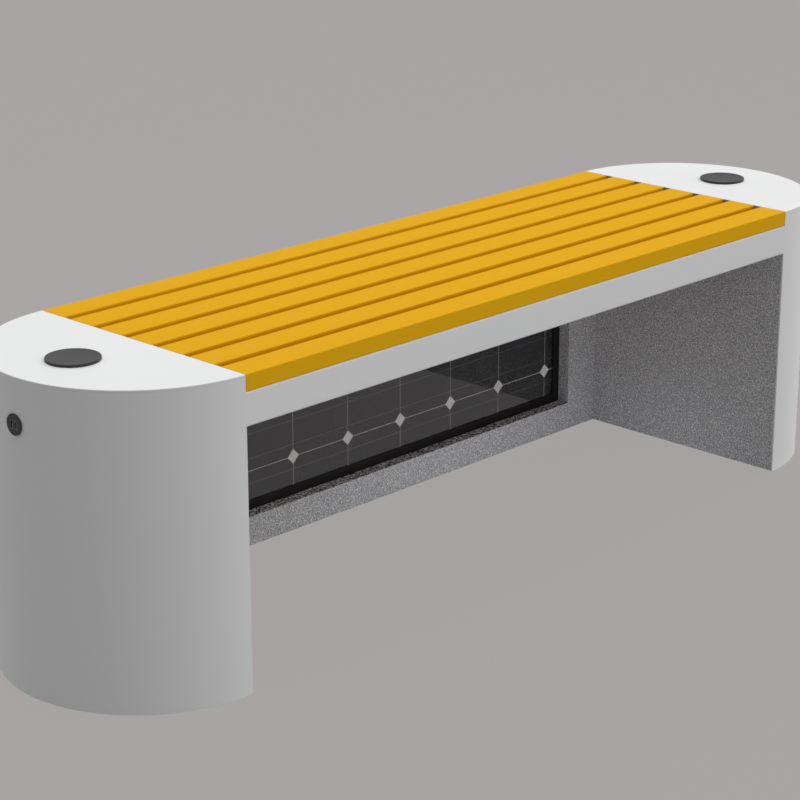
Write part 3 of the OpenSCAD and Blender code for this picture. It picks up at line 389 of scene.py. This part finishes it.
def joined(name, meshes):
    """One mesh of several."""
    work = bmesh.new()
    for mesh in meshes:
        work.from_mesh(mesh)
    both = bpy.data.meshes.new(name)
    work.to_mesh(both)
    work.free()
    for mesh in meshes:
        bpy.data.meshes.remove(mesh)
    both.set_sharp_from_angle(angle=smooth_below)
    return both


def turned(name, profile, origin, axis, sides=48):
    """A turned part. A profile point (r, h) gives a circle of radius r about the axis, at
    height h along it. A third value of 1 makes that ring a hexagon with its flats r from
    the axis: at an angle t from a flat's middle its radius is r over the cosine of t."""
    w = Vector(axis).normalized()
    u = w.orthogonal().normalized()
    v = w.cross(u)
    turn = np.arange(sides) * 2 * math.pi / sides
    spokes = np.outer(np.cos(turn), u) + np.outer(np.sin(turn), v)
    flat = 1 / np.cos(turn % (math.pi / 3) - math.pi / 6)
    rings = []
    for point in profile:
        reach = point[0] * (flat if len(point) == 3 else 1)
        rings.append(
            np.array(origin) + np.array(w) * point[1] + spokes * np.reshape(reach, (-1, 1))
        )
    return loft(name, rings, capped=False)


def solids(name):
    """The separate solids of a CAD node, each as an array of its corner points."""
    work = bmesh.new()
    work.from_mesh(nodes[name].data)
    bmesh.ops.remove_doubles(work, verts=work.verts, dist=0.00001)
    left = set(work.verts)
    found = []
    for start in list(work.verts):
        if start not in left:
            continue
        left.remove(start)
        group = [start]
        for vert in group:
            for edge in vert.link_edges:
                other = edge.other_vert(vert)
                if other in left:
                    left.remove(other)
                    group.append(other)
        found.append(np.array([vert.co[:] for vert in group]))
    work.free()
    return found


def screws(name, material, way, shank, head, high, drive, sunk=False):
    """Stands in for a node of like screws. way gives the direction from tip to head at a
    solid's middle; shank, head and high are the CAD's diameters and the head's height, and
    drive is the width of the hexagonal recess, which the CAD leaves out."""
    meshes = []
    for points in solids(name):
        middle = (points.min(0) + points.max(0)) / 2
        axis = np.array(way(middle), float)
        axis /= np.linalg.norm(axis)
        along = (points - middle) @ axis
        base, top = along.min(), along.max() - along.min()
        neck = top - high
        if sunk:
            face = [(head / 2, top - 0.00015), (head / 2 - 0.0001, top)]
        else:
            face = [
                (head / 2 - 0.0001, neck),
                (head / 2, neck + 0.0002),
                (head / 2, neck + high * 0.5),
                (head * 0.45, top - high * 0.18),
                (head * 0.36, top),
            ]
        tip = [(0, 0), (shank * 0.4, 0), (shank / 2, shank * 0.12), (shank / 2, neck)]
        recess = [
            (drive * 0.62, top),
            (drive / 2, top - 0.0002, 1),
            (drive / 2, top - drive * 0.45, 1),
            (0, top - drive * 0.6),
        ]
        profile = [*tip, *face, *recess]
        meshes.append(turned("screw", profile, middle + axis * base, axis, sides=24))
    place(name + "_dressed", joined(name, meshes), material, name)


middle_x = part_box("right_shell")[0].x


def from_pedestal(at):
    """The direction from a pedestal's upright axis, on its flat face, out to a point."""
    return (at[0] - math.copysign(middle_x, at[0]), at[1], 0)


screws("base_screws", zinc, from_pedestal, shank=0.006, head=0.011, high=0.003, drive=0.004)

# Charging pads: a black moulded disc on each cover, with a raised rim, a shallow dish, a
# glossy side and a threaded sleeve. Coil, lower cap and ring nut sit below the cover.
pad_black = finish("pad_black", (0.073, 0.073, 0.074), 0.55, grain=1500, depth=0.00004)
pad_gloss = finish("pad_gloss", (0.036, 0.036, 0.037), 0.4, grain=600, shine=0.3)
plastic_black = finish(
    "black_plastic", (0.03, 0.03, 0.031), 0.42, grain=1500, depth=0.00003
)
copper = finish("copper_coil", (0.72, 0.36, 0.18), 0.3, grain=1400, metallic=1.0)
sleeve, sleeve_bore, side_upright = 0.033, 0.0305, 0.8
thread_start, thread_step, thread_deep, thread_rings = 0.002, 0.0008, 0.0005, 24
cover_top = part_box("left_top_cover")[1].z
for side in ("left", "right"):
    low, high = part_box(side + "_charger_pad")
    middle = (low + high) / 2
    reach, top, foot = (high.x - low.x) / 2, high.z, low.z
    threads = [
        (sleeve - thread_deep * (k % 2), foot + thread_start + thread_step * k)
        for k in range(thread_rings)
    ]
    profile = [
        # the sleeve's bore, its foot, its thread, and the seat on the cover
        (0, cover_top),
        (sleeve_bore, cover_top),
        (sleeve_bore, foot),
        (sleeve - 0.0008, foot),
        *threads,
        (sleeve, cover_top - 0.0035),
        (sleeve, cover_top),
        # the disc's side
        (reach - 0.0004, cover_top),
        (reach, cover_top + 0.0004),
        (reach, top - 0.0006),
        # the rim, and the dish inside it
        (reach - 0.0002, top - 0.00018),
        (reach - 0.0006, top),
        (reach - 0.0028, top),
        (reach - 0.0032, top - 0.0001),
        (reach - 0.0042, top - 0.0007),
        (reach - 0.0048, top - 0.0008),
        (0, top - 0.0008),
    ]
    mesh = turned(side + "_pad", profile, (middle.x, middle.y, 0), (0, 0, 1), sides=160)
    place(side + "_charger_pad_dressed", mesh, pad_black, side + "_charger_pad")
    mesh.materials.append(pad_gloss)
    for face in mesh.polygons:
        if abs(face.normal.z) < side_upright and face.center.z > cover_top - 0.0001:
            face.material_index = 1
softened(copper, 0.0003, "charger_coils")
softened(plastic_black, 0.0004, "charger_bases", "charger_nuts")

# USB sockets: a round black bezel on the outermost point of each shell, with two upright
# ports. Each port has a folded steel liner and a tongue with four gilt contacts.
brass = finish("gilt_contact", (0.78, 0.56, 0.24), 0.25, grain=900, metallic=1.0)
softened(plastic_black, 0.00025, "left_usb_socket", "right_usb_socket", "usb_nuts")


def outline(width, height, radius, steps=6):
    """A rounded rectangle about its middle: quarter circles of steps points at its corners,
    counter-clockwise, as an array of points by 2."""
    quarter = np.linspace(0, math.pi / 2, steps)
    points = []
    for k, (sx, sy) in enumerate(((1, 1), (-1, 1), (-1, -1), (1, -1))):
        turn = quarter + k * math.pi / 2
        middle = np.array((sx * (width / 2 - radius), sy * (height / 2 - radius)))
        points.append(middle + radius * np.stack((np.cos(turn), np.sin(turn)), -1))
    return np.concatenate(points)


def bar(name, low, high, radius, along=0):
    """A straight bar that fills a box: a rounded rectangle swept along one axis, its two end
    faces drawn in by the same rounding."""
    low, high = np.array(low, float), np.array(high, float)
    across = [k for k in range(3) if k != along]
    size, middle = high - low, (low + high) / 2
    turn = np.linspace(0, math.pi / 2, 4)
    starts = [
        (radius * (1 - math.sin(t)), low[along] + radius * (1 - math.cos(t))) for t in turn
    ]
    ends = [(inset, low[along] + high[along] - at) for inset, at in reversed(starts)]
    rings = []
    for inset, at in starts + ends:
        width, height = size[across[0]] - 2 * inset, size[across[1]] - 2 * inset
        flat = outline(width, height, max(radius - inset, radius / 8))
        ring = np.zeros((len(flat), 3))
        ring[:, across[0]] = middle[across[0]] + flat[:, 0]
        ring[:, across[1]] = middle[across[1]] + flat[:, 1]
        ring[:, along] = at
        rings.append(ring)
    return loft(name, rings)


port_wide, port_high, port_at, port_deep = 0.0052, 0.0126, 0.0045, 0.0128
liner_wall, liner_play, liner_corner = 0.0003, 0.0001, 0.0006
liner_front, liner_back = 0.0002, 0.0126
liner_path = [(liner_back, 0), (liner_front, 0), (liner_front, 1), (liner_back, 1)]
contact_wide, contact_long, contact_step, contact_edge = 0.0009, 0.0062, 0.0023, 0.00008
contact_low, contact_high = 0.00118, 0.00098
for side, sign in (("left", -1), ("right", 1)):
    low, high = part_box(side + "_usb_socket")
    face = low.x if sign < 0 else high.x
    axis_z = (low.z + high.z) / 2
    liners, contacts = [], []
    for y in (-port_at, port_at):
        rings = []
        for at, inset in [*liner_path, liner_path[0]]:
            inwards = 2 * inset * liner_wall + liner_play
            flat = outline(port_wide - inwards, port_high - inwards, liner_corner)
            depth = np.full(len(flat), face - sign * at)
            rings.append(np.stack((depth, flat[:, 0] + y, flat[:, 1] + axis_z), -1))
        liners.append(loft("liner", rings, capped=False))
        ends = sorted(face - sign * at for at in (port_deep - contact_long, port_deep))
        for k in (-1.5, -0.5, 0.5, 1.5):
            z = axis_z + k * contact_step
            start = (ends[0], y - contact_low, z - contact_wide / 2)
            stop = (ends[1], y - contact_high, z + contact_wide / 2)
            contacts.append(bar("contact", start, stop, contact_edge))
    place(side + "_usb_liners", joined("liners", liners), zinc, slot="zinc_steel")
    place(side + "_usb_contacts", joined("contacts", contacts), brass, slot="copper_coil")

# Seat frame: a white box-section apron in front, a rail at the back, five channels across,
# and zinc-plated cleats and bolts that tie the rails to the pedestals.
softened(white_coat, 0.0004, "front_apron", "rear_rail", "seat_bearers")
softened(zinc, 0.0004, "rail_cleats", "cleat_bolts")
screws(
    "slat_screws", zinc, lambda at: (0, 0, -1), shank=0.0048, head=0.0096, high=0.003, drive=0.003
)

# Slats: seven hollow extruded bars with a yellow satin coat, their top faces a darker yellow
# as painted shade, and their sides darkened by painted shade down into the gaps between them.
# Their saw-cut ends butt against a rubber strip on each pedestal whose brown is painted shade.
yellow_coat = finish(
    "yellow_coat", (0.87, 0.465, 0.011), 0.55, grain=800, depth=0.00002, mottle=0.02, shine=0.006
)
shaded_top_yellow, facing_up = (0.78, 0.405, 0.010), 0.7
gap_shade_upper, gap_shade_lower = (0.78, 0.36, 0.002), (0.42, 0.20, 0.007)
gap_shade_from, gap_shade_full, gap_dark_from, gap_dark_full = 0.001, 0.005, 0.007, 0.016
unshaded_edge = 0.003
slat_low, slat_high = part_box("slat_1")
tree = yellow_coat.node_tree


def lay_over(tree, mask, colour):
    """Lays a colour over a finish where the mask is 1."""
    slot = tree.nodes["Principled BSDF"].inputs["Base Color"]
    tree.links.new(mixed(tree, mask, slot.links[0].from_socket, colour), slot)


# Painted shade: faces that look up get a darker yellow than the slats' other faces.
normal = node(tree, "NewGeometry").outputs["Normal"]
upward = node(tree, "SeparateXYZ", normal).outputs["Z"]
lay_over(tree, calc(tree, "GREATER_THAN", upward, facing_up), shaded_top_yellow)
# Painted shade in the gaps: below the top the slats' sides go to a dim yellow, then deeper down
# to a dark brown, except near the seat's front and back edges.
spot = node(tree, "SeparateXYZ", node(tree, "TexCoord").outputs["Object"])
gap_shade_mask = ramp(tree, spot.outputs["Z"], slat_high.z - gap_shade_from, slat_high.z - gap_shade_full)
between = calc(tree, "COMPARE", spot.outputs["Y"], 0, -slat_low.y - unshaded_edge)
gap_dark_mask = ramp(tree, spot.outputs["Z"], slat_high.z - gap_dark_from, slat_high.z - gap_dark_full)
gap_shade_colour = mixed(tree, gap_dark_mask, gap_shade_upper, gap_shade_lower)
lay_over(tree, calc(tree, "MULTIPLY", gap_shade_mask, between), gap_shade_colour)
rubber = finish("seal_rubber", (0.016, 0.016, 0.016), 0.75, grain=1200, shine=0.2)
softened(yellow_coat, 0.0003, *("slat_%d" % k for k in range(1, 8)))
# The strip's brown is painted shade: it stands for the dark seen at the ends of the gaps.
gap_end_shade_strip = finish("gap_end_shade_strip", (0.34, 0.26, 0.13), 0.8, grain=1200, shine=0.2)
strip_in, strip_end, strip_foot, strip_sunk = 0.00008, 0.025, 0.001, 0.0008
strips = []
for sign in (-1, 1):
    x = sorted((sign * (slat_high.x + strip_in), sign * (middle_x - strip_in)))
    start = (x[0], slat_low.y + strip_end, slat_low.z + strip_foot)
    stop = (x[1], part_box("slat_7")[1].y - strip_end, slat_high.z - strip_sunk)
    strips.append(bar("strip", start, stop, 0.00015, along=1))
place("seat_end_strips", joined("strips", strips), gap_end_shade_strip, slot="seal_rubber")

# Rear wall: a folded pan with the grey textured coat, the ledge of its deep window sprayed
# coarser, closed behind by a flat white cover with countersunk screws.
# Painted light: the ledge coat and its flecks are tinted blue to cancel the warm light that the
# yellow slats throw down onto the ledge.
ledge_coat = finish(
    "ledge_coat",
    (0.06, 0.065, 0.08),
    0.8,
    grain=230,
    depth=0.0006,
    mottle=0.1,
    fleck=(0.97, 0.98, 1.0),
    level=0.485,
    shine=0.1,
)
softened(grey_coat, 0.0004, "rear_wall")
wall_mesh = bpy.data.objects["rear_wall_dressed"].data
wall_mesh.materials.append(ledge_coat)
wall_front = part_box("rear_wall")[0].y
panel_low, panel_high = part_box("panel_frame")
for face in wall_mesh.polygons:
    inside = panel_low.x < face.center.x < panel_high.x
    inside = inside and panel_low.z < face.center.z < panel_high.z
    if inside and face.center.y > wall_front + 0.0001 and face.normal.z > 0.5:
        face.material_index = 1
softened(white_coat, 0.0003, "rear_cover")
softened(zinc, 0.0004, "wall_bolts")
screws(
    "cover_screws",
    zinc,
    lambda at: (0, 1, 0),
    shank=0.0048,
    head=0.009,
    high=0.002,
    drive=0.0028,
    sunk=True,
)

# Solar module: a black anodised angle frame on a rubber gasket holds two clear panes with
# dark single-crystal cells and tinned ribbons between them, so light shows at their corners.
black_anodised = finish(
    "black_anodised", (0.014, 0.014, 0.015), 0.4, grain=2000, depth=0.00001, shine=0.2
)
silicon = finish(
    "silicon", (0.003, 0.0035, 0.006), 0.3, grain=200, depth=0.000002, shine=0.2
)
finger_pitch, finger_share, finger_tone = 0.0021, 0.05, (0.006, 0.006, 0.008)
tree = silicon.node_tree
spot = node(tree, "SeparateXYZ", node(tree, "TexCoord").outputs["Object"])
part = calc(tree, "FRACT", calc(tree, "DIVIDE", spot.outputs["X"], finger_pitch))
lay_over(tree, calc(tree, "LESS_THAN", part, finger_share), finger_tone)
ribbon = finish("tinned_ribbon", (0.078, 0.078, 0.081), 0.5, grain=900, metallic=0.5)


def paint(material, *names):
    """Gives CAD nodes that stay as they are one material."""
    for name in names:
        mesh = nodes[name].data
        mesh.materials.clear()
        mesh.materials.append(material)


def pane_glass(name, clean, dusty):
    """A clear pane: the colour it passes goes from clean to dusty by the slow patch, which
    dulls it too. Shadows and diffuse light pass it straight."""
    glass = bpy.data.materials.new(name)
    glass.use_nodes = True
    tree = glass.node_tree
    shader = tree.nodes["Principled BSDF"]
    shader.inputs["Transmission Weight"].default_value = 1.0
    shader.inputs["IOR"].default_value = 1.5
    film = tree.nodes.new("ShaderNodeGroup")
    film.node_tree = surface_grain
    film.inputs["Patch Scale"].default_value = 9
    patches = film.outputs["Patch"]
    tree.links.new(ramp(tree, patches, 0.45, 0.8, 0, 0.02), shader.inputs["Roughness"])
    tree.links.new(mixed(tree, patches, clean, dusty), shader.inputs["Base Color"])
    clear = node(tree, "BsdfTransparent", Color=(0.93, 0.95, 0.94, 1))
    passing = any_of(tree, "Is Shadow Ray", "Is Diffuse Ray")
    both = node(tree, "MixShader", passing, shader.outputs[0], clear.outputs[0])
    tree.links.new(both.outputs[0], tree.nodes["Material Output"].inputs["Surface"])
    return glass


softened(rubber, 0.0001, "panel_gasket")
softened(black_anodised, 0.0002, "panel_frame")
paint(silicon, "solar_cells")
paint(ribbon, "cell_ribbons")
softened(plastic_black, 0.0006, "junction_box")
front_pane = pane_glass("panel_glass", (0.975, 0.99, 0.985), (0.95, 0.965, 0.96))
rear_pane = pane_glass("panel_glass_rear", (0.73, 0.735, 0.735), (0.69, 0.695, 0.695))
paint(front_pane, "front_glass")
paint(rear_pane, "rear_glass")

# Service door: a grey-coated sheet with slots for air, a seal behind it, two steel hinges
# held by raised-head screws, and a quarter-turn lock with a three-sided key hole. The CAD
# has no hinge screws, so only their heads are here, each let into its leaf.
softened(grey_coat, 0.0005, "service_door")
softened(rubber, 0.0003, "door_gasket")
softened(zinc, 0.0003, "hinge_frame_leaves", "hinge_door_leaves", "hinge_pins")
softened(zinc, 0.0003, "lock_body", "lock_nut", "lock_core")
leaf_thick, leaf_half, screw_inset = 0.002, 0.011, 0.010
hinge_head = [
    (0, -0.0004),
    (0.0039, -0.0004),
    (0.0040, 0.0003),
    (0.0037, 0.0007),
    (0.0030, 0.0011),
    (0.0021, 0.0013),
    (0.0018, 0.0012, 1),
    (0.0017, -0.0001, 1),
    (0, -0.0002),
]
for leaves, sheet, body in (
    ("hinge_frame_leaves", "left_inner_wall", "root"),
    ("hinge_door_leaves", "service_door", "door"),
):
    leaf_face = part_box(sheet)[1].x + leaf_thick
    heads = []
    for points in solids(leaves):
        low, high = points.min(0), points.max(0)
        leaf_y = high[1] - leaf_half if body == "root" else low[1] + leaf_half
        for z in (low[2] + screw_inset, high[2] - screw_inset):
            heads.append(turned("head", hinge_head, (leaf_face, leaf_y, z), (1, 0, 0), 24))
    place(
        leaves.replace("leaves", "screws"),
        joined("heads", heads),
        zinc,
        body=body,
        slot="zinc_steel",
    )

# Power unit: a sealed battery with a seam under its lid, a vent plug and a cable gland, held
# on a folded tray by a strap; a finned charge controller on the wall above it.
case_grey = finish(
    "battery_case", (0.035, 0.038, 0.045), 0.5, grain=1200, depth=0.00006, shine=0.3
)
case_black = finish(
    "controller_case", (0.03, 0.032, 0.038), 0.45, grain=1500, metallic=0.4, shine=0.3
)
low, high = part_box("battery")
gland_high, lid_high, case_corner, gland_y = 0.006, 0.032, 0.004, 0.060
case_top = high.z - gland_high
seam = case_top - lid_high
case_wide, case_long = high.x - low.x, high.y - low.y
case_x, case_y = (low.x + high.x) / 2, (low.y + high.y) / 2
levels = [
    # the foot, the seam under the lid, and the lid's edge
    (0.0020, low.z),
    (0.0006, low.z + 0.0006),
    (0, low.z + 0.0020),
    (0, seam),
    (0.0009, seam + 0.0004),
    (0.0009, seam + 0.0016),
    (0, seam + 0.0020),
    (0, case_top - 0.0030),
    (0.0009, case_top - 0.0009),
    (0.0030, case_top),
]
rings = []
for inset, z in levels:
    flat = outline(case_wide - 2 * inset, case_long - 2 * inset, case_corner)
    rings.append(
        np.stack((flat[:, 0] + case_x, flat[:, 1] + case_y, np.full(len(flat), z)), -1)
    )
gland = [
    (0, 0),
    (0.0056, 0, 1),
    (0.0056, 0.0032, 1),
    (0.0048, 0.0036),
    (0.0044, gland_high),
    (0, gland_high),
]
plug = [
    (0, 0),
    (0.008, 0),
    (0.008, 0.0012),
    (0.0074, 0.0018),
    (0.003, 0.0018),
    (0.0026, 0.0010),
    (0, 0.0010),
]
case_parts = [
    loft("case", rings),
    turned("gland", gland, (case_x, gland_y, case_top), (0, 0, 1)),
    turned("plug", plug, (case_x, -gland_y, case_top), (0, 0, 1)),
]
place("battery_dressed", joined("battery", case_parts), case_grey, "battery")
softened(zinc, 0.0004, "battery_tray", "battery_strap")
screws(
    "strap_screws", zinc, lambda at: (0, 0, 1), shank=0.0048, head=0.009, high=0.003, drive=0.003
)
softened(case_black, 0.0004, "charge_controller")

# Cables and grommets: round leads with a black rubber sheath, all inside the bench, and the
# rubber rings that line the holes where they cross a sheet.
sheath = finish("cable_rubber", (0.02, 0.02, 0.021), 0.55, grain=1200, shine=0.3)
softened(sheath, 0, "usb_cables", "panel_cable", "battery_cable", "charger_cable")
softened(sheath, 0, "seat_cable")
softened(rubber, 0.0002, "cable_grommets")
